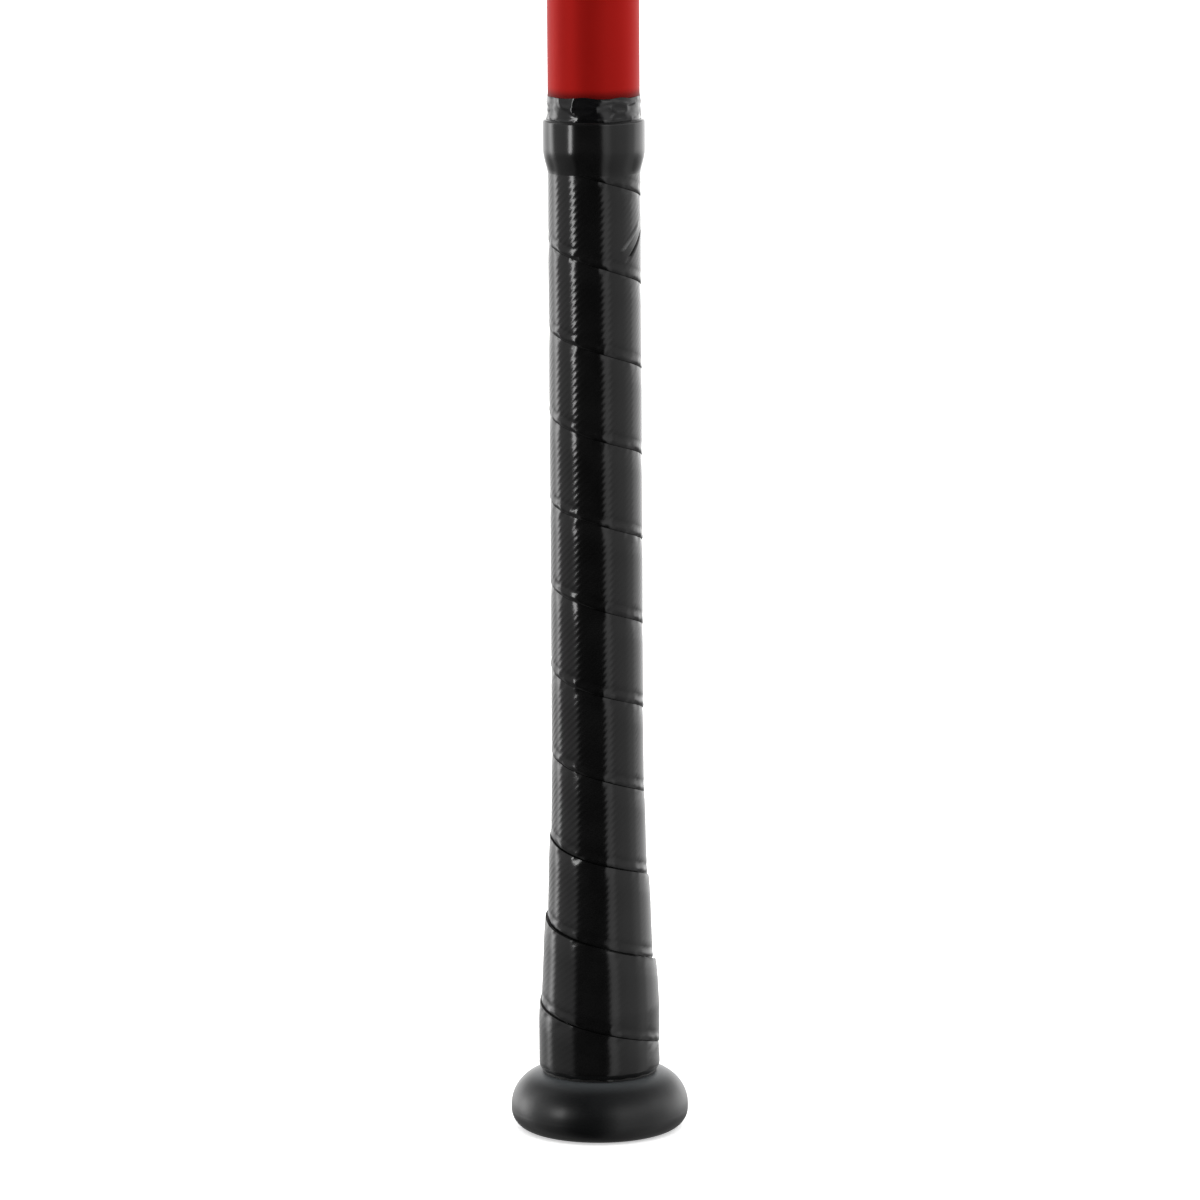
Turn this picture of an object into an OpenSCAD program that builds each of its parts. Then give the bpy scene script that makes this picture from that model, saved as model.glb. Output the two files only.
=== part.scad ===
// Two-piece baseball bat: an alloy barrel bonded through a rubber joint to a composite handle,
// with a moulded knob, a flared grip sleeve and a wrapped grip.
// The bat stands on its knob: +Z runs from the knob to the end cap, the origin is the centre
// of the knob's underside, and every piece is round about the Z axis. Sizes are millimetres.

/* [Bat] */
// Length over everything
bat_length = 864; // [760:1:1050]
// Outside diameter of the barrel
barrel_d = 66.7; // [57:0.1:82]
// Outside diameter of the bare handle, above the grip
handle_d = 25.2; // [20:0.1:31]
// Height at which the handle starts to widen
taper_start = 330; // [310:1:400]
// Height at which the barrel reaches its full diameter
taper_end = 600; // [500:1:720]
// Part of the taper's bend that lies in its lower, hollow curve
taper_balance = 0.6; // [0.4:0.05:0.75]

/* [Barrel] */
// Wall of the alloy barrel
barrel_wall = 2.6; // [2:0.1:4]
// Outside radius of the rolled-in barrel end
rolled_r = 5; // [4.5:0.1:7]
// Width of the flat lip that holds the end cap
lip_w = 3; // [2:0.1:5]

/* [End cap] */
// Height of the cap above the rolled barrel end
cap_rise = 5; // [4:0.1:8]
// Thickness of the cap's top
cap_top_t = 4.5; // [3:0.1:6]
// Wall of the cap's cup inside the barrel
cap_wall = 3; // [2:0.1:4]
// How far the cap reaches into the barrel below the lip
cap_depth = 14; // [8:0.5:25]
// How far the snap barb stands out behind the lip
barb_w = 1.4; // [0.8:0.1:2]
// Radius on the cap's outer edge
cap_edge_r = 2.4; // [1:0.1:3.5]
// Width of the flat rim on the cap's top
cap_rim_w = 6; // [4:0.1:9]
// Depth of the dish inside the rim
cap_dish = 0.8; // [0.4:0.1:1.5]
// Number of ribs under the cap's top
cap_ribs = 6; // [3:1:12]
// Thickness of a rib
rib_t = 2; // [1.2:0.1:3]
// Radius of the hub in which the ribs meet
cap_hub_r = 6; // [4:0.1:10]

/* [Joint] */
// Height of the shoulder on which the joint ring sits
joint_z = 440; // [400:1:540]
// Height of the visible joint ring
ring_h = 6; // [3:0.1:12]
// How far the ring stands proud of the bat's outline
ring_proud = 0.4; // [0.1:0.1:1]
// Thickness of the rubber sleeve between barrel and handle
sleeve_t = 2; // [1:0.1:3]
// Length of the handle's spigot above the shoulder
spigot_len = 95; // [60:1:120]
// Length over which the tube's wall thickens below the shoulder
shoulder_len = 36; // [20:1:60]
// Height of the bung's body inside the spigot
bung_len = 12; // [6:0.5:20]
// Thickness of the bung's head over the spigot's end
bung_head_t = 2; // [1:0.1:4]
// Wall of the bung's hollow body
bung_wall = 3; // [2:0.1:5]

/* [Handle] */
// Wall of the composite tube above the grip
tube_wall = 2.6; // [1.8:0.1:3.5]
// Depth of the seat that the tube has for the grip
grip_seat = 0.7; // [0.3:0.05:1]
// Lower end of the foam damper in the tube
damper_z = 40; // [25:1:80]
// Length of the foam damper
damper_len = 80; // [30:1:150]

/* [Grip] */
// Thickness of the grip
grip_t = 0.9; // [0.6:0.05:2]
// Height at which the grip ends, under the collar
grip_top_z = 276; // [240:1:300]
// How much the grip's radius grows over the flare, towards the knob
flare_rise = 4.1; // [2:0.1:6]
// Height of the straight lower end of the flare
flare_low_z = 35; // [25:1:45]
// Height at which the flare has run out
flare_end_z = 112; // [80:1:125]
// Thinnest edge at the top of the flare sleeve
flare_feather = 0.3; // [0.2:0.05:0.6]
// Thickness of the rubber collar over the grip
collar_t = 1.3; // [1:0.1:2.5]
// Height of the collar's lower edge
collar_low_z = 269.8; // [230:0.1:274]
// Height of the collar
collar_h = 13; // [10:0.1:20]
// Height of the collar's tapered lower part
collar_lip_h = 6; // [3:0.1:8]
// Thickness of the collar's lower edge over the grip
collar_edge_t = 0.35; // [0.2:0.05:0.6]
// Radius on the collar's upper edge
collar_edge_r = 1.1; // [0.5:0.1:1.2]
// Thickness of the finishing tape
tape_t = 0.2; // [0.1:0.05:0.4]
// Height of the finishing tape's upper edge
tape_top_z = 289.2; // [285:0.1:305]

/* [Knob] */
// Diameter of the knob
knob_d = 49.5; // [44:0.1:60]
// Radius of the knob's upper curve
knob_top_r = 9.9; // [8:0.1:10]
// Radius of the knob's lower curve
knob_low_r = 5.3; // [4:0.1:6]
// Height of the top of the knob's straight rim
knob_mid_z = 6.3; // [6.2:0.1:8]
// Least width of the flat on top of the knob, around the tube
knob_flat_w = 2.5; // [1.5:0.1:3]
// Thickness of the knob's floor under the tube
knob_floor_t = 4; // [3.4:0.1:6]
// Width of the seat for the plug's head
plug_seat_w = 1.5; // [1:0.1:2]
// Thickness of the plug's head
plug_head_t = 2; // [1:0.1:2.6]
// How far the plug's head is sunk in the knob
plug_sunk = 0.6; // [0.2:0.1:1]
// Length of the plug's stem inside the tube and the knob's floor
plug_stem_len = 12; // [6:0.5:20]
// Wall of the plug's hollow stem
plug_wall = 2.2; // [1.4:0.1:3]

/* [Hidden] */
$fn = 120;
far = 2000;         // reaches past the whole bat in every cut
bend_fn = 1440;     // segments of the long, slow curves
flare_steps = 24;   // straight steps that make up the flare's hollow curve

barrel_r = barrel_d / 2;
handle_r = handle_d / 2;

// The taper is two arcs that meet at a common tangent: a hollow one below, a full one above.
taper_rise = barrel_r - handle_r;
taper_run = taper_end - taper_start;
bend_sum = (taper_rise * taper_rise + taper_run * taper_run) / (2 * taper_rise);
low_bend_r = bend_sum * taper_balance;
high_bend_r = bend_sum - low_bend_r;
bend_angle = asin(taper_run / bend_sum);

// Tube and grip
bore_r = handle_r - tube_wall;
seat_r = handle_r - grip_seat;
grip_r = seat_r + grip_t;
flare_r = grip_r + flare_rise;
flare_run = flare_end_z - flare_low_z;
flare_bend_r = (flare_rise * flare_rise + flare_run * flare_run) / (2 * flare_rise);
flare_sleeve_top_z = flare_end_z - sqrt(2 * (flare_bend_r + grip_t) * flare_feather);
tape_r = handle_r + tape_t;
collar_r = grip_r + collar_t;
collar_top_z = collar_low_z + collar_h;

// Knob and plug
knob_r = knob_d / 2;
knob_curve_r = min(knob_top_r, knob_r - seat_r - knob_flat_w);
knob_top_z = knob_mid_z + knob_curve_r;
plug_head_r = bore_r + plug_seat_w;
plug_seat_z = plug_sunk + plug_head_t;

// Joint
spigot_top_z = joint_z + spigot_len;
spigot_inset = barrel_wall + sleeve_t;
spigot_bore_inset = spigot_inset + tube_wall;
barrel_low_z = joint_z + ring_h;

// Barrel end and cap
barrel_end_z = bat_length - cap_rise;
mouth_r = barrel_r - rolled_r - lip_w;
cap_r = barrel_r - rolled_r;
cap_low_z = barrel_end_z - barrel_wall - cap_depth;

// Radius of the bat's outline, moved inwards by inset, at height z
function outline_r(z, inset = 0) =
    let (junction_z = taper_start + (low_bend_r + inset) * sin(bend_angle))
    z <= taper_start ? handle_r - inset :
    z >= taper_end ? barrel_r - inset :
    z < junction_z
        ? handle_r + low_bend_r - sqrt(pow(low_bend_r + inset, 2) - pow(z - taper_start, 2))
        : barrel_r - high_bend_r + sqrt(pow(high_bend_r - inset, 2) - pow(taper_end - z, 2));

// Radius of the grip's surface over the flare, moved inwards by inset, at height z
function flare_curve_r(z, inset) =
    grip_r + flare_bend_r - sqrt(pow(flare_bend_r + inset, 2) - pow(flare_end_z - z, 2));

// Everything between two heights, from the axis outwards
module band(z_from, z_to) {
    translate([0, z_from]) square([far, z_to - z_from]);
}

// Half of the bat's outline, from the axis to its surface, moved inwards by inset
module outline(inset = 0) {
    junction_z = taper_start + (low_bend_r + inset) * sin(bend_angle);
    square([handle_r - inset, taper_start]);
    difference() {
        translate([0, taper_start])
            square([handle_r + low_bend_r, junction_z - taper_start]);
        translate([handle_r + low_bend_r, taper_start])
            circle(r = low_bend_r + inset, $fn = bend_fn);
    }
    intersection() {
        translate([0, junction_z]) square([barrel_r, taper_end - junction_z]);
        translate([barrel_r - high_bend_r, taper_end])
            circle(r = high_bend_r - inset, $fn = bend_fn);
    }
    translate([0, taper_end]) square([barrel_r - inset, far - taper_end]);
}

// The stretch of an outline between two heights
module outline_band(z_from, z_to, inset = 0) {
    intersection() {
        outline(inset);
        band(z_from, z_to);
    }
}

// Half outline of the barrel's rolled end: a square corner rounded to corner_r
module rolled_end(inset = 0) {
    top_z = barrel_end_z - inset;
    corner_r = rolled_r - inset;
    corner_z = barrel_end_z - rolled_r;
    square([barrel_r - inset, corner_z]);
    square([barrel_r - rolled_r, top_z]);
    translate([barrel_r - rolled_r, corner_z]) circle(r = corner_r);
}

// Half outline of the handle over the flare, moved inwards by inset
module flare_outline(inset = 0) {
    curve = [
        for (i = [0 : flare_steps])
            let (z = flare_low_z + flare_run * i / flare_steps)
            [flare_curve_r(z, inset), z]
    ];
    polygon(concat(
        [[0, 0], [curve[0].x, 0]],
        curve,
        [[grip_r - inset, far], [0, far]]
    ));
}

module barrel_shell() {
    color("firebrick") rotate_extrude() difference() {
        intersection() {
            outline_band(barrel_low_z, barrel_end_z);
            rolled_end();
        }
        intersection() {
            outline(barrel_wall);
            rolled_end(barrel_wall);
        }
        translate([0, taper_end]) square([mouth_r, far]);
    }
}

// The barb is a short cone that snaps behind the barrel's lip.
module end_cap() {
    lip_low_z = barrel_end_z - barrel_wall;
    cup_r = mouth_r - cap_wall;
    color("dimgray") {
        rotate_extrude() difference() {
            union() {
                translate([0, barrel_end_z]) square([cap_r - cap_edge_r, cap_rise]);
                translate([0, barrel_end_z]) square([cap_r, cap_rise - cap_edge_r]);
                translate([cap_r - cap_edge_r, bat_length - cap_edge_r])
                    circle(r = cap_edge_r);
                translate([0, cap_low_z]) square([mouth_r, barrel_end_z - cap_low_z]);
                polygon([
                    [mouth_r, lip_low_z],
                    [mouth_r + barb_w, lip_low_z],
                    [mouth_r, lip_low_z - 4 * barb_w]
                ]);
            }
            translate([0, cap_low_z])
                square([cup_r, bat_length - cap_top_t - cap_low_z]);
            translate([0, bat_length - cap_dish])
                square([cap_r - cap_rim_w, cap_dish]);
        }
        difference() {
            translate([0, 0, cap_low_z])
                cylinder(r = cap_hub_r, h = bat_length - cap_top_t - cap_low_z);
            translate([0, 0, cap_low_z])
                cylinder(r = cap_hub_r - rib_t, h = bat_length - cap_top_t - cap_low_z);
        }
        rib_from = cap_hub_r - rib_t / 2;
        for (i = [0 : cap_ribs - 1])
            rotate([0, 0, i * 360 / cap_ribs])
                translate([rib_from, -rib_t / 2, cap_low_z + cap_depth / 3])
                    cube([
                        cup_r + cap_wall / 2 - rib_from,
                        rib_t,
                        bat_length - cap_top_t - cap_low_z - cap_depth / 3
                    ]);
    }
}

module joint_ring() {
    color("black") rotate_extrude() difference() {
        outline_band(joint_z, barrel_low_z, -ring_proud);
        outline(spigot_inset);
    }
}

module joint_sleeve() {
    color("gray") rotate_extrude() difference() {
        outline_band(barrel_low_z, spigot_top_z, barrel_wall);
        outline(spigot_inset);
    }
}

// A hollow plug, open below, with a head that caps the spigot's end.
module tube_bung() {
    color("darkslategray") rotate_extrude() {
        difference() {
            outline_band(spigot_top_z - bung_len, spigot_top_z, spigot_bore_inset);
            outline(spigot_bore_inset + bung_wall);
        }
        translate([0, spigot_top_z])
            square([outline_r(spigot_top_z, spigot_inset), bung_head_t]);
    }
}

// The wall thickens below the shoulder, so that it runs on into the narrower spigot.
module handle_tube() {
    thick_z = joint_z - shoulder_len;
    color("firebrick") rotate_extrude() difference() {
        union() {
            outline_band(knob_floor_t, grip_top_z, grip_seat);
            outline_band(grip_top_z, joint_z);
            outline_band(joint_z, spigot_top_z, spigot_inset);
        }
        outline_band(0, thick_z, tube_wall);
        polygon([
            [0, thick_z],
            [outline_r(thick_z, tube_wall), thick_z],
            [outline_r(joint_z, spigot_bore_inset), joint_z],
            [0, joint_z]
        ]);
        outline_band(joint_z, far, spigot_bore_inset);
    }
}

module handle_damper() {
    color("dimgray") translate([0, 0, damper_z]) cylinder(r = bore_r, h = damper_len);
}

module flare_sleeve() {
    color("darkslategray") rotate_extrude() difference() {
        intersection() {
            flare_outline(grip_t);
            band(knob_top_z, flare_sleeve_top_z);
        }
        square([seat_r, far]);
    }
}

// A narrow straight rim joins the upper and lower arcs, and the foot is flat.
module knob() {
    color("dimgray") rotate_extrude() difference() {
        union() {
            intersection() {
                translate([knob_r - knob_curve_r, knob_mid_z]) circle(r = knob_curve_r);
                band(knob_mid_z, knob_top_z);
            }
            translate([0, knob_mid_z]) square([knob_r - knob_curve_r, knob_curve_r]);
            translate([0, knob_low_r]) square([knob_r, knob_mid_z - knob_low_r]);
            intersection() {
                translate([knob_r - knob_low_r, knob_low_r]) circle(r = knob_low_r);
                band(0, knob_low_r);
            }
            square([knob_r - knob_low_r, knob_low_r]);
        }
        square([plug_head_r, plug_seat_z]);
        square([bore_r, knob_floor_t]);
        translate([0, knob_floor_t]) square([seat_r, far]);
    }
}

module knob_plug() {
    color("black") rotate_extrude() difference() {
        union() {
            translate([0, plug_sunk]) square([plug_head_r, plug_head_t]);
            translate([0, plug_seat_z]) square([bore_r, plug_stem_len]);
        }
        translate([0, plug_seat_z]) square([bore_r - plug_wall, plug_stem_len]);
    }
}

// Above the feathered top of the flare sleeve the grip lies straight on the tube.
module grip_tape() {
    color("black") rotate_extrude() difference() {
        intersection() {
            flare_outline();
            band(knob_top_z, grip_top_z);
        }
        square([seat_r, far]);
        intersection() {
            flare_outline(grip_t);
            square([far, flare_sleeve_top_z]);
        }
    }
}

// The bore has a step: the grip's end below it, the finishing tape above it.
module grip_collar() {
    lip_rise = collar_r - grip_r - collar_edge_t;
    lip_r = (lip_rise * lip_rise + collar_lip_h * collar_lip_h) / (2 * lip_rise);
    lip_top_z = collar_low_z + collar_lip_h;
    color("black") rotate_extrude() difference() {
        union() {
            intersection() {
                translate([collar_r - lip_r, lip_top_z]) circle(r = lip_r, $fn = bend_fn);
                band(collar_low_z, lip_top_z);
                square([collar_r, far]);
            }
            translate([0, lip_top_z])
                square([collar_r, collar_top_z - collar_edge_r - lip_top_z]);
            translate([0, lip_top_z])
                square([collar_r - collar_edge_r, collar_top_z - lip_top_z]);
            translate([collar_r - collar_edge_r, collar_top_z - collar_edge_r])
                circle(r = collar_edge_r);
        }
        square([grip_r, grip_top_z]);
        translate([0, grip_top_z]) square([tape_r, far]);
    }
}

module finishing_tape() {
    color("black") rotate_extrude() translate([handle_r, grip_top_z])
        square([tape_t, tape_top_z - grip_top_z]);
}

barrel_shell();
end_cap();
joint_ring();
joint_sleeve();
tube_bung();
handle_tube();
handle_damper();
flare_sleeve();
knob();
knob_plug();
grip_tape();
grip_collar();
finishing_tape();
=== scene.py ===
import math

import bpy
from mathutils import Matrix, Vector, noise


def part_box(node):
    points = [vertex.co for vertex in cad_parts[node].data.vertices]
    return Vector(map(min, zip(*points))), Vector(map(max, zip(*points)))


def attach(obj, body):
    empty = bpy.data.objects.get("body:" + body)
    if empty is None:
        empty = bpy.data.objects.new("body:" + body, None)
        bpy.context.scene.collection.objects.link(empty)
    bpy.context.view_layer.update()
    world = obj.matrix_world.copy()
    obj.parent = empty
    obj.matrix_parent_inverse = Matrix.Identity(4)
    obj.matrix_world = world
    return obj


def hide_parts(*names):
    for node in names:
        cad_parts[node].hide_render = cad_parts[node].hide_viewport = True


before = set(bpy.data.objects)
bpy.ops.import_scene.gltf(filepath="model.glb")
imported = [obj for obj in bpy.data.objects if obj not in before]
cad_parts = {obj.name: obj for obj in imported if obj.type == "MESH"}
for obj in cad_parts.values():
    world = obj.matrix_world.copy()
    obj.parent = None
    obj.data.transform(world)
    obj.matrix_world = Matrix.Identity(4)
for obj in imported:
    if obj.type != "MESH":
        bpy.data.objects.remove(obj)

bpy.ops.object.select_all(action="DESELECT")
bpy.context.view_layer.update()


# ---------------------------------------------------------------------------------------------
# Camera. A long lens at the height of the bat's middle, turned down to look at the handle.
# It stands 1.7 m away and leans by a third of a degree.
# ---------------------------------------------------------------------------------------------
camera_place = Vector((0.0009, -1.690, 0.440))
camera_aim = Vector((0.0009, 0.0, 0.1494))
camera_lean = math.radians(0.35)

camera = bpy.data.objects.new("camera", bpy.data.cameras.new("camera"))
bpy.context.scene.collection.objects.link(camera)
camera.data.sensor_width = 36.0
camera.data.lens = 186.0
camera.data.clip_start = 0.01
camera.data.clip_end = 100.0
camera.location = camera_place
facing = (camera_aim - camera_place).to_track_quat("-Z", "Y")
camera.rotation_euler = (facing.to_matrix() @ Matrix.Rotation(-camera_lean, 3, "Z")).to_euler()
bpy.context.scene.camera = camera
bpy.context.scene.view_settings.view_transform = "Standard"


# ---------------------------------------------------------------------------------------------
# Floor and studio light. The bat stands on a sheet of white acrylic that is also lit from below,
# so it throws only a thin shadow. White cloths hang behind it and to its sides, a strip light
# stands at its left, and the room in front of it is dark.
# ---------------------------------------------------------------------------------------------
def linear(hex_colour):
    """Turns a colour such as "A1B2C3" from sRGB to the linear values that shaders take."""
    channels = [int(hex_colour[i:i + 2], 16) / 255 for i in (0, 2, 4)]
    return tuple(c / 12.92 if c <= 0.04045 else ((c + 0.055) / 1.055) ** 2.4
                 for c in channels) + (1.0,)


def add_node(tree, kind, links=None, **settings):
    """Adds a node, sets its own properties, and fills or links its inputs."""
    node = tree.nodes.new(kind)
    for name, value in settings.items():
        setattr(node, name, value)
    for name, value in (links or {}).items():
        if isinstance(value, bpy.types.NodeSocket):
            tree.links.new(value, node.inputs[name])
        else:
            node.inputs[name].default_value = value
    return node


def fill_ramp(node, stops, interpolation="EASE"):
    """Gives a colour ramp its stops, each a position and a brightness or a colour."""
    ramp = node.color_ramp
    ramp.interpolation = interpolation
    while len(ramp.elements) < len(stops):
        ramp.elements.new(0.5)
    for element, (position, value) in zip(ramp.elements, stops):
        element.position = position
        element.color = value if isinstance(value, tuple) else (value, value, value, 1.0)


def new_material(name):
    """A material with a Principled BSDF, its tree, and coordinates in metres."""
    material = bpy.data.materials.new(name)
    material.use_nodes = True
    tree = material.node_tree
    shader = tree.nodes["Principled BSDF"]
    place = add_node(tree, "ShaderNodeTexCoord").outputs["Object"]
    return material, tree, shader, place


floor_size = 60.0
bpy.ops.mesh.primitive_plane_add(size=floor_size)
floor = bpy.context.object
floor.name = "floor"
floor.visible_glossy = False
floor.visible_diffuse = False
# Cast acrylic, sanded matt: white and even, with a faint cloudiness. It glows a little, because
# lamps below shine through it.
cloud_size = 0.111
under_glow = 0.5
acrylic, tree, shader, place = new_material("white_acrylic")
shader.inputs["Roughness"].default_value = 0.95
shader.inputs["Specular IOR Level"].default_value = 0.0
cloud = add_node(tree, "ShaderNodeTexNoise", {
    "Vector": place, "Scale": 1 / cloud_size, "Detail": 3.0})
tone = add_node(tree, "ShaderNodeValToRGB", {"Fac": cloud.outputs["Fac"]})
fill_ramp(tone, [(0.3, linear("F6F6F6")), (0.7, linear("F9F9F9"))])
tree.links.new(tone.outputs["Color"], shader.inputs["Base Color"])
shader.inputs["Emission Color"].default_value = (1.0, 1.0, 1.0, 1.0)
shader.inputs["Emission Strength"].default_value = under_glow
floor.data.materials.append(acrylic)

# Brightness of the room by direction, in degrees: turned from the camera's side, positive to the
# right, and raised from level. The cloths behind are the brightest, the room in front nearly black.
cloth_brightness = 5.0
turns = [(-180, 2.0), (-150, 1.9), (-126, 2.0), (-119, 3.2), (-113, 5.0), (-107, 3.2),
         (-101, 0.7), (-94, 0.62), (-56, 0.55), (-45, 0.04), (16, 0.02), (25, 1.0), (31, 1.0),
         (42, 0.6), (72, 0.66), (98, 1.0), (112, 2.0), (136, 2.4), (180, 2.0)]
back_heights = [(-90, 0.06), (-50, 0.12), (-26, 0.15), (-19, 0.18), (-13.5, 0.36), (-10, 0.75),
                (-5, 1.0), (0, 1.0), (6, 1.15), (14, 0.8), (24, 0.4), (40, 0.22), (62, 0.1),
                (90, 0.12)]
front_heights = [(-90, 0.3), (-45, 0.55), (-20, 0.76), (-14, 0.82), (-10, 0.94), (-5, 1.0),
                 (6, 1.0), (14, 1.6), (26, 1.5), (44, 0.35), (62, 0.25), (90, 0.12)]
# Share of the front cloths, which shine higher up than the back ones, in each direction.
front_share = [(-180, 0.0), (-107, 0.0), (-99, 0.6), (-50, 0.6), (-40, 1.0), (92, 1.0),
               (116, 0.0), (180, 0.0)]
world = bpy.data.worlds.new("studio")
world.use_nodes = True
bpy.context.scene.world = world
tree = world.node_tree
tree.nodes.clear()
way = add_node(tree, "ShaderNodeSeparateXYZ", {
    "Vector": add_node(tree, "ShaderNodeTexCoord").outputs["Generated"]})
front = add_node(tree, "ShaderNodeMath", {0: way.outputs["Y"], 1: -1.0}, operation="MULTIPLY")
turn = add_node(tree, "ShaderNodeMath", {0: way.outputs["X"], 1: front.outputs[0]},
                operation="ARCTAN2")
turn_share = add_node(tree, "ShaderNodeMapRange", {
    "Value": turn.outputs[0], "From Min": -math.pi, "From Max": math.pi})
round_room = add_node(tree, "ShaderNodeValToRGB", {"Fac": turn_share.outputs[0]})
fill_ramp(round_room, [((angle + 180) / 360, value / cloth_brightness)
                       for angle, value in turns])
rise = add_node(tree, "ShaderNodeMath", {0: way.outputs["Z"]}, operation="ARCSINE")
rise_share = add_node(tree, "ShaderNodeMapRange", {
    "Value": rise.outputs[0], "From Min": -math.pi / 2, "From Max": math.pi / 2})
back_rise = add_node(tree, "ShaderNodeValToRGB", {"Fac": rise_share.outputs[0]})
fill_ramp(back_rise, [((angle + 90) / 180, value) for angle, value in back_heights])
front_rise = add_node(tree, "ShaderNodeValToRGB", {"Fac": rise_share.outputs[0]})
fill_ramp(front_rise, [((angle + 90) / 180, value) for angle, value in front_heights])
in_front = add_node(tree, "ShaderNodeValToRGB", {"Fac": turn_share.outputs[0]})
fill_ramp(in_front, [((angle + 180) / 360, value) for angle, value in front_share])
up_room = add_node(tree, "ShaderNodeMix", {
    "Factor": in_front.outputs["Color"], "A": back_rise.outputs["Color"],
    "B": front_rise.outputs["Color"]}, data_type="FLOAT")
walls = add_node(tree, "ShaderNodeMath", {
    0: round_room.outputs["Color"], 1: up_room.outputs["Result"]}, operation="MULTIPLY")
room_light = add_node(tree, "ShaderNodeBackground", {
    "Color": walls.outputs[0], "Strength": cloth_brightness})
backdrop = add_node(tree, "ShaderNodeBackground", {"Color": (1.0, 1.0, 1.0, 1.0)})
seen = add_node(tree, "ShaderNodeMixShader", {
    0: add_node(tree, "ShaderNodeLightPath").outputs["Is Camera Ray"],
    1: room_light.outputs[0], 2: backdrop.outputs[0]})
add_node(tree, "ShaderNodeOutputWorld", {"Surface": seen.outputs[0]})

# A wide, even light from overhead brightens the floor. It is kept out of the reflections.
overhead = bpy.data.lights.new("overhead_light", "SUN")
overhead.energy = 3.4
overhead.angle = math.radians(100)
overhead_lamp = bpy.data.objects.new("overhead_light", overhead)
bpy.context.scene.collection.objects.link(overhead_lamp)
overhead_lamp.location = (0.0, 0.0, 3.0)
overhead_lamp.visible_glossy = False

# A strip light stands to the left of the camera and faces the handle.
strip_turn = math.radians(-55)
strip_reach = 1.2
strip_height = 0.295
strip = bpy.data.lights.new("strip_light", "AREA")
strip.shape = "RECTANGLE"
strip.size = 0.16
strip.size_y = 0.5
strip.energy = 2.1
strip_lamp = bpy.data.objects.new("strip_light", strip)
bpy.context.scene.collection.objects.link(strip_lamp)
strip_lamp.location = (strip_reach * math.sin(strip_turn), -strip_reach * math.cos(strip_turn),
                       strip_height)
strip_lamp.rotation_euler = (Vector((0.0, 0.0, strip_height)) - strip_lamp.location).to_track_quat(
    "-Z", "Y").to_euler()
strip_lamp.visible_camera = False


# ---------------------------------------------------------------------------------------------
# Barrel: a drawn and spun aluminium tube whose end is rolled in to a lip for the cap.
# It is sprayed with red enamel, baked and clear coated.
# ---------------------------------------------------------------------------------------------
def coat(node_name, material):
    """Gives one node of the frame its finish."""
    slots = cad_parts[node_name].data.materials
    if not len(slots):
        slots.append(material)
    for index in range(len(slots)):
        slots[index] = material


# Baked metallic enamel under a clear coat: a deep red with the faint ripple of sprayed paint.
# The paint just above the finishing tape is darkened with painted shade, where the tape's edge
# meets it.
# Rubbed patches, a few centimetres across, are glossier than the rest.
tape_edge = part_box("finishing_tape")[1].z
tape_shade_height = 0.0028
patch_size = 0.0714
peel_size = 0.0016
enamel, tree, shader, place = new_material("gloss_red_enamel")
shader.inputs["IOR"].default_value = 1.45
shader.inputs["Specular IOR Level"].default_value = 0.10
shader.inputs["Metallic"].default_value = 0.35
shader.inputs["Coat Weight"].default_value = 0.3
shader.inputs["Coat Roughness"].default_value = 0.07
cloud = add_node(tree, "ShaderNodeTexNoise", {
    "Vector": place, "Scale": 1 / patch_size, "Detail": 4.0})
tone = add_node(tree, "ShaderNodeValToRGB", {"Fac": cloud.outputs["Fac"]})
fill_ramp(tone, [(0.3, linear("B01915")), (0.7, linear("BE1D18"))])
height = add_node(tree, "ShaderNodeSeparateXYZ", {"Vector": place}).outputs["Z"]
# Painted shade: the red darkens towards the tape's upper edge.
painted_tape_shade = add_node(tree, "ShaderNodeMapRange", {
    "Value": height, "From Min": tape_edge, "From Max": tape_edge + tape_shade_height,
    "To Min": 0.75, "To Max": 0.0}, interpolation_type="SMOOTHSTEP")
colour = add_node(tree, "ShaderNodeMixRGB", {
    "Fac": painted_tape_shade.outputs[0], "Color1": tone.outputs["Color"], "Color2": linear("3A0806")})
tree.links.new(colour.outputs["Color"], shader.inputs["Base Color"])
rub = add_node(tree, "ShaderNodeMapRange", {
    "Value": cloud.outputs["Fac"], "From Min": 0.35, "From Max": 0.65,
    "To Min": 0.46, "To Max": 0.58})
tree.links.new(rub.outputs[0], shader.inputs["Roughness"])
peel = add_node(tree, "ShaderNodeTexNoise", {"Vector": place, "Scale": 1 / peel_size})
ripple = add_node(tree, "ShaderNodeBump", {
    "Strength": 0.10, "Distance": 0.00003, "Height": peel.outputs["Fac"]})
tree.links.new(ripple.outputs[0], shader.inputs["Normal"])
tree.links.new(ripple.outputs[0], shader.inputs["Coat Normal"])
coat("barrel_shell", enamel)


# ---------------------------------------------------------------------------------------------
# End cap: moulded in black urethane and snapped into the barrel's lip.
# Its top is a flat rim round a shallow dish, with ribs below.
# ---------------------------------------------------------------------------------------------
# Moulded urethane: a dull black with the fine grain of a blasted mould. The real grain is about
# a tenth of a millimetre, and is drawn four times as coarse so that it shows.
cloud_size = 0.01667
grain_size = 0.0004
urethane, tree, shader, place = new_material("moulded_urethane")
shader.inputs["Roughness"].default_value = 0.48
shader.inputs["IOR"].default_value = 1.48
cloud = add_node(tree, "ShaderNodeTexNoise", {
    "Vector": place, "Scale": 1 / cloud_size, "Detail": 3.0})
tone = add_node(tree, "ShaderNodeValToRGB", {"Fac": cloud.outputs["Fac"]})
fill_ramp(tone, [(0.35, linear("161617")), (0.7, linear("1C1C1D"))])
tree.links.new(tone.outputs["Color"], shader.inputs["Base Color"])
grain = add_node(tree, "ShaderNodeTexNoise", {"Vector": place, "Scale": 1 / grain_size})
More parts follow.
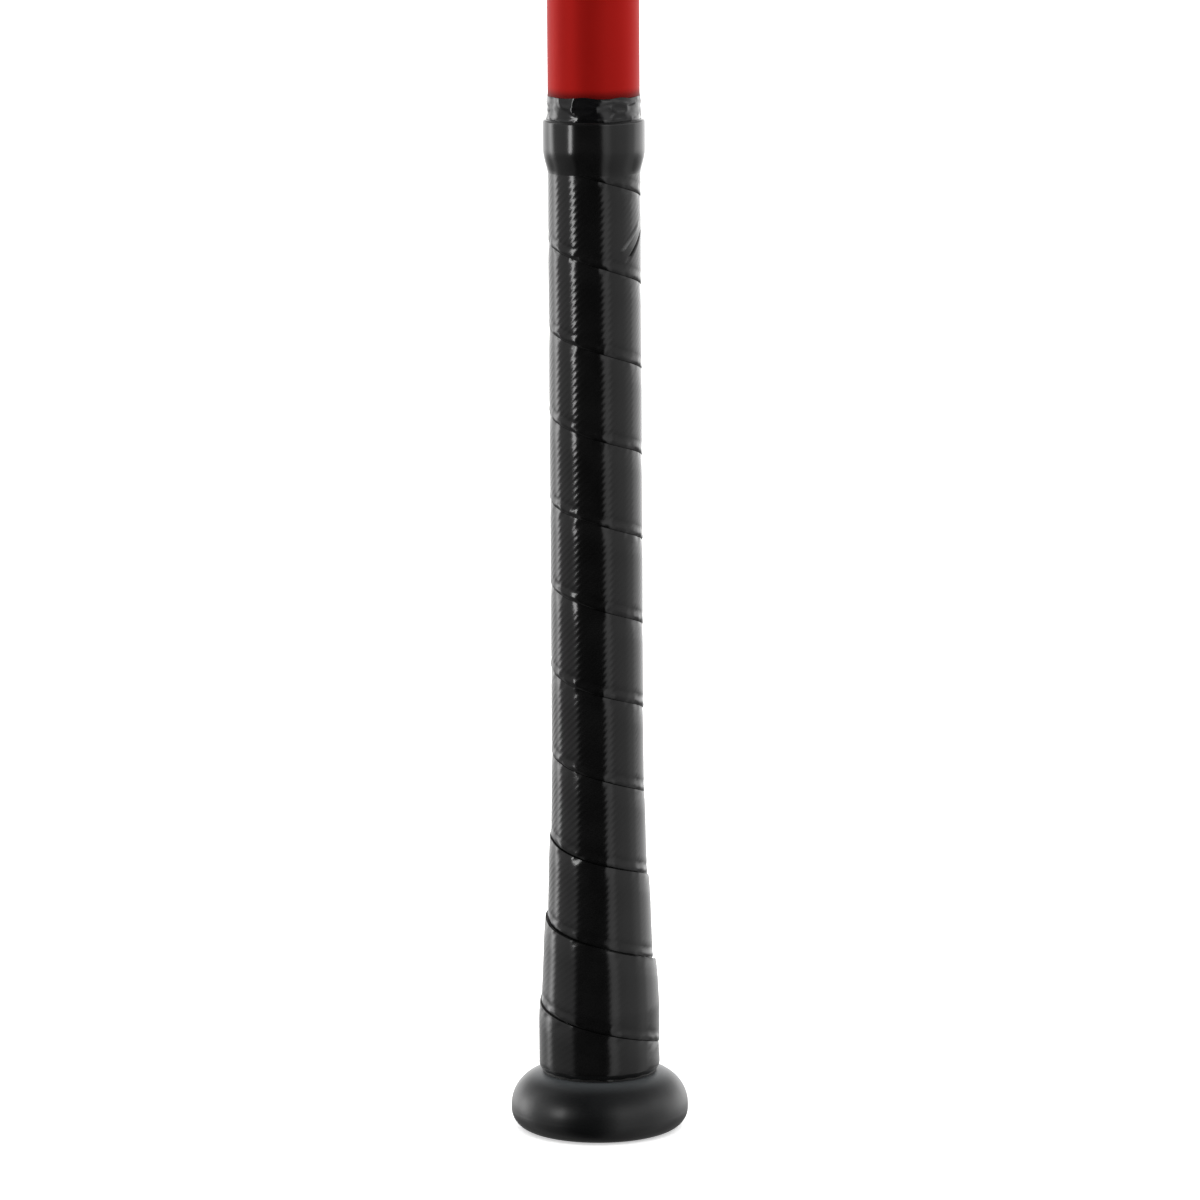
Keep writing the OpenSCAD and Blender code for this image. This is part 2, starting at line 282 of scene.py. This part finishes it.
blast = add_node(tree, "ShaderNodeBump", {
    "Strength": 0.5, "Distance": 0.00005, "Height": grain.outputs["Fac"]})
tree.links.new(blast.outputs[0], shader.inputs["Normal"])
coat("end_cap", urethane)


# ---------------------------------------------------------------------------------------------
# Joint: a rubber sleeve that bonds the handle into the barrel, with a ring that shows outside.
# Ring and sleeve are one soft rubber, cut flush and rubbed smooth.
# ---------------------------------------------------------------------------------------------
# Natural rubber filled with carbon black, its moulded skin rubbed off: matt, with the faint
# pale bloom of wax that comes to its face.
bloom_size = 0.004545
rubber, tree, shader, place = new_material("black_rubber")
shader.inputs["Roughness"].default_value = 0.55
shader.inputs["IOR"].default_value = 1.52
bloom = add_node(tree, "ShaderNodeTexNoise", {
    "Vector": place, "Scale": 1 / bloom_size, "Detail": 5.0})
tone = add_node(tree, "ShaderNodeValToRGB", {"Fac": bloom.outputs["Fac"]})
fill_ramp(tone, [(0.4, linear("121212")), (0.75, linear("1E1E1E"))])
tree.links.new(tone.outputs["Color"], shader.inputs["Base Color"])
skin = add_node(tree, "ShaderNodeBump", {
    "Strength": 0.4, "Distance": 0.0001, "Height": bloom.outputs["Fac"]})
tree.links.new(skin.outputs[0], shader.inputs["Normal"])
coat("joint_ring", rubber)
coat("joint_sleeve", rubber)


# ---------------------------------------------------------------------------------------------
# Inner rubber: a hollow bung that closes the top of the handle tube, and the tapered sleeve
# that swells the tube below the grip. Both are moulded, and neither shows outside.
# ---------------------------------------------------------------------------------------------
# Moulded rubber straight from the tool: even, dull and a little darker than the rubbed ring.
cloud_size = 0.006667
moulded_rubber, tree, shader, place = new_material("moulded_inner_rubber")
shader.inputs["Roughness"].default_value = 0.6
cloud = add_node(tree, "ShaderNodeTexNoise", {
    "Vector": place, "Scale": 1 / cloud_size, "Detail": 4.0})
tone = add_node(tree, "ShaderNodeValToRGB", {"Fac": cloud.outputs["Fac"]})
fill_ramp(tone, [(0.35, linear("0E0E0E")), (0.7, linear("171717"))])
tree.links.new(tone.outputs["Color"], shader.inputs["Base Color"])
coat("tube_bung", moulded_rubber)
coat("flare_sleeve", moulded_rubber)


# ---------------------------------------------------------------------------------------------
# Handle tube: wound in glass and carbon cloth, with a turned seat for the grip at its lower end.
# It carries the barrel's red enamel, but no clear coat, so the hand doesn't stick to it.
# ---------------------------------------------------------------------------------------------
# Satin enamel: the same sprayed red, straight from the oven, with softer and wider highlights.
satin_enamel = enamel.copy()
satin_enamel.name = "satin_red_enamel"
satin_enamel.node_tree.nodes["Principled BSDF"].inputs["Coat Weight"].default_value = 0.0
coat("handle_tube", satin_enamel)


# ---------------------------------------------------------------------------------------------
# Damper: a rod of closed-cell foam that deadens the handle's sting and rattle.
# It is cut from a block and pressed dry into the tube, above the knob's plug.
# ---------------------------------------------------------------------------------------------
# Closed-cell polyethylene foam, cut with a hot wire: dark grey, with cells open over its face.
cell_size = 0.0009
foam, tree, shader, place = new_material("closed_cell_foam")
shader.inputs["Roughness"].default_value = 0.9
cells = add_node(tree, "ShaderNodeTexVoronoi", {"Vector": place, "Scale": 1 / cell_size})
tone = add_node(tree, "ShaderNodeValToRGB", {"Fac": cells.outputs["Distance"]})
fill_ramp(tone, [(0.1, linear("1B1B1C")), (0.7, linear("3A3A3C"))])
tree.links.new(tone.outputs["Color"], shader.inputs["Base Color"])
pits = add_node(tree, "ShaderNodeBump", {
    "Strength": 0.8, "Distance": 0.0003, "Height": cells.outputs["Distance"]})
tree.links.new(pits.outputs[0], shader.inputs["Normal"])
coat("handle_damper", foam)


# ---------------------------------------------------------------------------------------------
# Knob: injection moulded in black nylon and bonded to the tube's lower end.
# A separate plug fills the hole in its foot.
# ---------------------------------------------------------------------------------------------
# Moulded nylon from an etched mould: a satin black, in patches a little smoother from the hand.
# The etched grain, really about a tenth of a millimetre, is drawn coarser so that it shows.
# A paler ring in the corner under the grip is a painted highlight.
cloud_size = 0.0222
etch_size = 0.0005
corner = 0.0169
neck_highlight_width = 0.0046
nylon, tree, shader, place = new_material("satin_black_nylon")
shader.inputs["IOR"].default_value = 1.53
cloud = add_node(tree, "ShaderNodeTexNoise", {
    "Vector": place, "Scale": 1 / cloud_size, "Detail": 5.0})
tone = add_node(tree, "ShaderNodeValToRGB", {"Fac": cloud.outputs["Fac"]})
fill_ramp(tone, [(0.35, linear("0B0C0D")), (0.7, linear("121314"))])
flat_place = add_node(tree, "ShaderNodeVectorMath", {0: place, 1: (1.0, 1.0, 0.0)},
                      operation="MULTIPLY")
reach = add_node(tree, "ShaderNodeVectorMath", {0: flat_place.outputs[0]}, operation="LENGTH")
# Painted highlight: a paler ring on the knob's top next to the grip.
painted_neck_highlight = add_node(tree, "ShaderNodeMapRange", {
    "Value": reach.outputs["Value"], "From Min": corner, "From Max": corner + neck_highlight_width,
    "To Min": 0.45, "To Max": 0.0}, interpolation_type="SMOOTHSTEP")
colour = add_node(tree, "ShaderNodeMixRGB", {
    "Fac": painted_neck_highlight.outputs[0], "Color1": tone.outputs["Color"], "Color2": linear("5A5E60")})
tree.links.new(colour.outputs["Color"], shader.inputs["Base Color"])
rub = add_node(tree, "ShaderNodeMapRange", {
    "Value": cloud.outputs["Fac"], "From Min": 0.3, "From Max": 0.7,
    "To Min": 0.32, "To Max": 0.42})
tree.links.new(rub.outputs[0], shader.inputs["Roughness"])
etch = add_node(tree, "ShaderNodeTexNoise", {"Vector": place, "Scale": 1 / etch_size})
etched = add_node(tree, "ShaderNodeBump", {
    "Strength": 0.25, "Distance": 0.00005, "Height": etch.outputs["Fac"]})
tree.links.new(etched.outputs[0], shader.inputs["Normal"])
coat("knob", nylon)
coat("knob_plug", nylon)


# ---------------------------------------------------------------------------------------------
# Grip: one long strip of cushioned polymer, wound up the handle from the knob.
# Its edges are skived thin and lie over each other in a seam, and fine ribs cross it aslant.
# ---------------------------------------------------------------------------------------------
grip_low, grip_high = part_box("grip_tape")
pitch = 0.0237              # rise of the strip in one turn
wraps = 13                  # turns of the strip before its ends are cut
wraps_below = 2             # turns below the lowest seam
seam_height = 0.0242        # height of the lowest seam at the right-hand side
end_gap = 0.0002            # from the cut ends to the frame's
grip_radius = 0.0128        # over the straight part of the handle
flare_radius = 0.0169       # at the knob
flare_top = 0.112
flare_foot = 0.035
ribs_per_turn = 50
rows_per_rib = 4
rib_depth = 0.000034
rib_lean = math.radians(43)

flare_rise = flare_radius - grip_radius
flare_run = flare_top - flare_foot
flare_curve = (flare_rise ** 2 + flare_run ** 2) / (2 * flare_rise)


def grip_outline(height):
    """Radius over the grip at a height: straight, then a hollow curve out to the knob."""
    if height >= flare_top:
        return grip_radius
    if height <= flare_foot:
        return flare_radius
    return grip_radius + flare_curve - math.sqrt(flare_curve ** 2 - (flare_top - height) ** 2)


def ease(value, low, high):
    """0 below low, 1 above high, and smooth between them."""
    share = min(max((value - low) / (high - low), 0.0), 1.0)
    return share * share * (3 - 2 * share)


# Section of the strip, as height above its lower edge and depth below its face. It goes up the
# face and down the back.
face_start = 0.0038
face_step = 0.0012
face_points = 13
back_start = 0.0254
back_step = 0.0029
back_points = 9
back_depth = 0.00088
skin_depth = 0.0007         # what lies deeper than this is the strip's back
lower_edge = [(0.00004, -0.00076), (0.00004, -0.00028), (0.00012, -0.00018), (0.00035, -0.00009),
              (0.0007, -0.00002), (0.0011, 0.00001), (0.0015, -0.00001), (0.0021, -0.00006),
              (0.0028, -0.00007), (0.0033, -0.00004)]
upper_edge = [(0.0192, -0.00003), (0.0204, -0.00007), (0.0216, -0.00013), (0.0226, -0.00020),
              (0.0232, -0.00025), (0.02364, -0.00029), (0.02370, -0.00079)]
back_corners = [(0.0254, -0.00080), (0.0019, -0.00077)]
face = [(face_start + face_step * step, 0.0) for step in range(face_points)]
back = [(back_start - back_step * step, -back_depth) for step in range(back_points)]
section = lower_edge + face + upper_edge + back_corners[:1] + back + back_corners[1:]
slant = 1 / (math.tan(rib_lean) * grip_radius)
# The winding carries each row's upper end on round the handle, so a row rises less than the
# strip is wide.
row_share = 1 / (1 + pitch * slant / (2 * math.pi))

bpy.ops.mesh.primitive_circle_add(vertices=len(section), radius=grip_radius)
grip = bpy.context.object
grip.name = "grip_wrap"
for vertex, (width, depth) in zip(grip.data.vertices, section):
    rise = width * row_share
    radius = grip_radius + depth
    vertex.co = (radius * math.cos(slant * rise), radius * math.sin(slant * rise),
                 seam_height - wraps_below * pitch + rise)
screw = grip.modifiers.new("wind", "SCREW")
screw.axis = "Z"
screw.angle = -2 * math.pi
screw.screw_offset = pitch
screw.iterations = wraps
screw.steps = ribs_per_turn * rows_per_rib
screw.render_steps = screw.steps
screw.use_merge_vertices = False
bpy.ops.object.modifier_apply(modifier=screw.name)

# The skin is pulled to shape by hand: it waves and puckers, and its tail is cut and pressed down.
seam_wander = 0.0005        # how far the seams stray up and down
wander_waves = 38.0         # in each metre, as are the other waves
skin_swell = 0.00007
swell_waves = 55.0
pucker = 0.00016            # at the stretched edges
pucker_waves = 540.0
rib_start = (0.0012, 0.0034)        # bands across the strip over which the ribs and puckers
rib_end = (0.0196, 0.0224)          # come in and die out
pucker_end = (0.0012, 0.0036)
pucker_start = (0.0208, 0.0230)
worn_share = 0.3            # of the lowest ribs' depth, left by the heel of the hand
worn_heights = (0.030, 0.105)
step_share = 0.5            # part of the flare's rise that is taken up in steps at the seams
step_heights = (0.016, 0.030)
tail_turn = math.radians(-27)
tail_height = 0.2484
tail_half = 0.0056          # half the length of the cut, which fades over its last fifth
tail_full = 0.8
tail_reach = 0.0050
groove_depth = 0.00042
groove_half = 0.00019
bank_depth = 0.00012        # of the shallow banks beside the groove
bank_half = 0.00055
ridge_place = 0.0034
ridge_half = 0.0010
ridge_rise = 0.00030
foot_round = 0.0021
foot_tuck = 0.95            # share of the rounding that is used before the cut
foot_height = grip_low.z + end_gap
crease_angle = math.radians(55)
tail_ridge_highlight = grip.data.attributes.new("tail_ridge_highlight", "FLOAT", "POINT")
for vertex in grip.data.vertices:
    row, index = divmod(vertex.index, len(section))
    width, depth = section[index]
    vertex.co.z += seam_wander * noise.noise(Vector(vertex.co) * wander_waves)
    height = vertex.co.z
    angle = math.atan2(vertex.co.y, vertex.co.x)
    middle = height + (pitch / 2 - width)
    outline = grip_outline(height)
    drop = 0.0
    if depth > -skin_depth:
        wave = (1 - math.cos(2 * math.pi * (row % rows_per_rib) / rows_per_rib)) / 2
        margin = ease(width, *rib_start) * (1 - ease(width, *rib_end))
        margin *= worn_share + (1 - worn_share) * ease(height, *worn_heights)
        drop = rib_depth * wave * margin
        drop += skin_swell * noise.noise(Vector(vertex.co) * swell_waves)
        near_edge = 1 - ease(width, *pucker_end) + ease(width, *pucker_start)
        drop += pucker * near_edge * noise.noise(Vector(vertex.co) * pucker_waves)
        drop -= step_share * (grip_outline(middle) - outline) * ease(height, *step_heights)
        across = ((height - tail_height) * math.cos(rib_lean)
                  - grip_radius * (angle - tail_turn) * math.sin(rib_lean))
        along = ((height - tail_height) * math.sin(rib_lean)
                 + grip_radius * (angle - tail_turn) * math.cos(rib_lean))
        end = 1 - ease(abs(along), tail_half * tail_full, tail_half)
        if abs(across) < tail_reach:
            drop += end * groove_depth * (abs(across) < groove_half)
            drop += end * bank_depth * (abs(across) < bank_half)
            ridge = end * ease(1 - abs(across - ridge_place) / ridge_half, 0.0, 1.0)
            drop -= ridge_rise * ridge
            # The ridge's share is kept for a painted highlight along the tail's raised edge.
            tail_ridge_highlight.data[vertex.index].value = ridge ** 2
        low = min(max(foot_height + foot_round - height, 0.0), foot_round * foot_tuck)
        drop += foot_round - math.sqrt(foot_round ** 2 - low ** 2)
    radius = outline + depth - drop
    vertex.co.x = radius * math.cos(angle)
    vertex.co.y = radius * math.sin(angle)

# Both ends are cut level and closed.
bpy.ops.object.mode_set(mode="EDIT")
bpy.ops.mesh.select_all(action="SELECT")
bpy.ops.mesh.bisect(plane_co=(0, 0, grip_high.z - end_gap), plane_no=(0, 0, 1), clear_outer=True)
bpy.ops.mesh.edge_face_add()
bpy.ops.mesh.select_all(action="SELECT")
bpy.ops.mesh.bisect(plane_co=(0, 0, foot_height), plane_no=(0, 0, 1), clear_inner=True)
bpy.ops.mesh.edge_face_add()
bpy.ops.mesh.select_all(action="SELECT")
bpy.ops.mesh.normals_make_consistent(inside=False)
bpy.ops.object.mode_set(mode="OBJECT")
bpy.ops.object.shade_smooth_by_angle(angle=crease_angle)

# Polyurethane over a felt backing, its skin pressed smooth on a hot roller: deep black with a
# tacky gloss and pores that are drawn about twice as wide as real ones, so that they show.
# Along the raised edge of the cut tail the skin is painted paler, as a painted highlight.
cloud_size = 0.0111
pore_size = 0.00035
polymer, tree, shader, place = new_material("tacky_polyurethane")
shader.inputs["IOR"].default_value = 1.5
shader.inputs["Roughness"].default_value = 0.15
cloud = add_node(tree, "ShaderNodeTexNoise", {
    "Vector": place, "Scale": 1 / cloud_size, "Detail": 5.0})
tone = add_node(tree, "ShaderNodeValToRGB", {"Fac": cloud.outputs["Fac"]})
fill_ramp(tone, [(0.35, linear("0E0E0E")), (0.7, linear("151515"))])
# Painted highlight: the tail's ridge is mixed towards pale grey.
ridge_highlight_attribute = add_node(tree, "ShaderNodeAttribute", attribute_name="tail_ridge_highlight")
ridge_highlight_share = add_node(tree, "ShaderNodeMath", {0: ridge_highlight_attribute.outputs["Fac"], 1: cloud.outputs["Fac"]},
                operation="MULTIPLY")
colour = add_node(tree, "ShaderNodeMixRGB", {
    "Fac": ridge_highlight_share.outputs[0], "Color1": tone.outputs["Color"], "Color2": linear("8C8C8C")})
tree.links.new(colour.outputs["Color"], shader.inputs["Base Color"])
pores = add_node(tree, "ShaderNodeTexNoise", {"Vector": place, "Scale": 1 / pore_size})
skin = add_node(tree, "ShaderNodeBump", {
    "Strength": 0.15, "Distance": 0.00004, "Height": pores.outputs["Fac"]})
tree.links.new(skin.outputs[0], shader.inputs["Normal"])
grip.data.materials.append(polymer)
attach(grip, "root")
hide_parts("grip_tape")


# ---------------------------------------------------------------------------------------------
# Collar: a moulded rubber ring rolled down over the grip's upper end to hold it.
# Its upper edge is rounded and its lower edge tapers out over the grip.
# ---------------------------------------------------------------------------------------------
def turned(name, outline, segments):
    """Turns a closed outline of (radius, height) round the Z axis, as on a lathe."""
    bpy.ops.object.select_all(action="DESELECT")
    radius, height = outline[0]
    bpy.ops.mesh.primitive_circle_add(vertices=segments, radius=radius,
                                      location=(0.0, 0.0, height))
    piece = bpy.context.object
    piece.name = name
    bpy.ops.object.transform_apply(location=True)
    bpy.ops.object.mode_set(mode="EDIT")
    bpy.ops.mesh.select_all(action="SELECT")
    for next_radius, next_height in outline[1:]:
        bpy.ops.mesh.extrude_region_move(
            TRANSFORM_OT_translate={"value": (0.0, 0.0, next_height - height)})
        share = next_radius / radius
        bpy.ops.transform.resize(value=(share, share, 1.0), center_override=(0.0, 0.0, 0.0))
        radius, height = next_radius, next_height
    bpy.ops.mesh.select_all(action="DESELECT")
    bpy.ops.mesh.select_non_manifold()
    bpy.ops.mesh.bridge_edge_loops()
    bpy.ops.mesh.select_all(action="SELECT")
    bpy.ops.mesh.remove_doubles(threshold=0.000002)
    bpy.ops.mesh.normals_make_consistent(inside=False)
    bpy.ops.object.mode_set(mode="OBJECT")
    return piece


collar_low, collar_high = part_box("grip_collar")
collar_radius = collar_high.x
lip_over = 0.0016           # how far the thin lip runs down past the frame's collar
collar_foot = collar_low.z - lip_over
lip_rise = 0.0068
lip_wall = 0.00003          # thickness at the lip's edge
lip_curve = 0.8
lip_steps = 12
belly = 0.00003             # swell of the straight wall
wall_radius = collar_radius - belly
wall_steps = 7
edge_round = 0.0009
edge_steps = 5
collar_bore = 0.01265
bore_dip = 0.0001           # fall of the top towards the bore
collar_sides = 192
collar_swell = 0.00006
collar_waves = 130.0        # in each metre
crease_angle = math.radians(60)
outline = [(collar_bore, collar_foot)]
for step in range(lip_steps + 1):
    share = step / lip_steps
    thickness = (wall_radius - grip_radius - lip_wall) * ease(share ** lip_curve, 0.0, 1.0)
    outline.append((grip_radius + lip_wall + thickness, collar_foot + lip_rise * share))
wall_foot = collar_foot + lip_rise
wall_rise = collar_high.z - edge_round - wall_foot
for step in range(1, wall_steps + 1):
    share = step / wall_steps
    outline.append((wall_radius + belly * math.sin(math.pi * share), wall_foot + wall_rise * share))
for step in range(1, edge_steps + 1):
    angle = math.pi / 2 * step / edge_steps
    outline.append((collar_radius - edge_round * (1 - math.cos(angle)),
                    collar_high.z - edge_round * (1 - math.sin(angle))))
outline.append((collar_bore, collar_high.z - bore_dip))
collar = turned("collar", outline, collar_sides)
for vertex in collar.data.vertices:
    radius = math.hypot(vertex.co.x, vertex.co.y)
    if radius > grip_radius:
        swell = 1 + collar_swell * noise.noise(Vector(vertex.co) * collar_waves) / radius
        vertex.co.x *= swell
        vertex.co.y *= swell
bpy.ops.object.shade_smooth_by_angle(angle=crease_angle)

# Soft natural rubber from a polished mould: black with a slight sheen, and with shallow dimples
# where it was stretched as it was rolled down.
dimple_size = 0.00833
soft_rubber, tree, shader, place = new_material("soft_collar_rubber")
shader.inputs["IOR"].default_value = 1.5
shader.inputs["Roughness"].default_value = 0.16
cloud = add_node(tree, "ShaderNodeTexNoise", {
    "Vector": place, "Scale": 1 / dimple_size, "Detail": 4.0})
tone = add_node(tree, "ShaderNodeValToRGB", {"Fac": cloud.outputs["Fac"]})
fill_ramp(tone, [(0.35, linear("121212")), (0.7, linear("191919"))])
tree.links.new(tone.outputs["Color"], shader.inputs["Base Color"])
dimple = add_node(tree, "ShaderNodeBump", {
    "Strength": 0.2, "Distance": 0.0002, "Height": cloud.outputs["Fac"]})
tree.links.new(dimple.outputs[0], shader.inputs["Normal"])
collar.data.materials.append(soft_rubber)
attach(collar, "root")
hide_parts("grip_collar")


# ---------------------------------------------------------------------------------------------
# Finishing tape: a turn and a half of black vinyl tape that seals the grip to the paint.
# It is stretched on by hand, so it lies in small wrinkles and its upper edge wanders.
# ---------------------------------------------------------------------------------------------
tape_low, tape_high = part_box("finishing_tape")
tape_radius = tape_high.x
tape_wall = 0.0002
handle_radius = tape_radius - tape_wall
tape_bore = handle_radius - 0.0001
tape_foot = tape_low.z + 0.0005
rings = 30
tape_sides = 256
top_dip = 0.00005           # fall of the tape's upper edge towards the paint
crease_waves = (150.0, 150.0, 420.0)        # in each metre round and up the tape
crease_rise = 0.00026
crease_sharpness = 3.2
fine_waves = 2.3            # in each wave of the creases
fine_rise = 0.00008
flat_share = 0.6            # how much flatter the wrinkles are at the upper edge
flat_band = 0.0012
edge_wander = 0.0005
edge_waves = 170.0
edge_band = 0.0030          # height below the upper edge that wanders with it
lap_turn = math.radians(58)
lap_half = 0.50             # in radians, with a sharp step at its end
lap_end = 0.51
lap_rise = 0.00013
crease_angle = math.radians(50)
outline = [(tape_bore, tape_foot)]
for step in range(rings + 1):
    outline.append((tape_radius, tape_foot + (tape_high.z - tape_foot) * step / rings))
outline.append((tape_bore, tape_high.z - top_dip))
tape = turned("finishing_tape_band", outline, tape_sides)
for vertex in tape.data.vertices:
    radius = math.hypot(vertex.co.x, vertex.co.y)
    angle = math.atan2(vertex.co.y, vertex.co.x)
    if radius > handle_radius:
        where = Vector(vertex.co) * Vector(crease_waves)
        crease = 1 - abs(noise.noise(where)) * crease_sharpness
        lift = crease_rise * max(crease, 0.0) ** 2 + fine_rise * noise.noise(where * fine_waves)
        lift += lap_rise * (1 - ease(abs(angle - lap_turn), lap_half, lap_end))
        lift *= 1 - flat_share * ease(vertex.co.z, tape_high.z - flat_band, tape_high.z)
        wander = edge_wander * noise.noise(Vector((vertex.co.x, vertex.co.y, 0.0)) * edge_waves)
        vertex.co.z += wander * ease(vertex.co.z, tape_high.z - edge_band, tape_high.z)
        vertex.co.x *= (radius + lift) / radius
        vertex.co.y *= (radius + lift) / radius
bpy.ops.object.shade_smooth_by_angle(angle=crease_angle)

# Plasticised vinyl, rolled smooth and pulled tight: very dark and shiny, with a faint mottle.
mottle_size = 0.005
vinyl, tree, shader, place = new_material("stretched_vinyl")
shader.inputs["IOR"].default_value = 1.52
shader.inputs["Roughness"].default_value = 0.14
cloud = add_node(tree, "ShaderNodeTexNoise", {
    "Vector": place, "Scale": 1 / mottle_size, "Detail": 3.0})
tone = add_node(tree, "ShaderNodeValToRGB", {"Fac": cloud.outputs["Fac"]})
fill_ramp(tone, [(0.35, linear("0C0C0D")), (0.7, linear("131314"))])
tree.links.new(tone.outputs["Color"], shader.inputs["Base Color"])
tape.data.materials.append(vinyl)
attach(tape, "root")
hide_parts("finishing_tape")
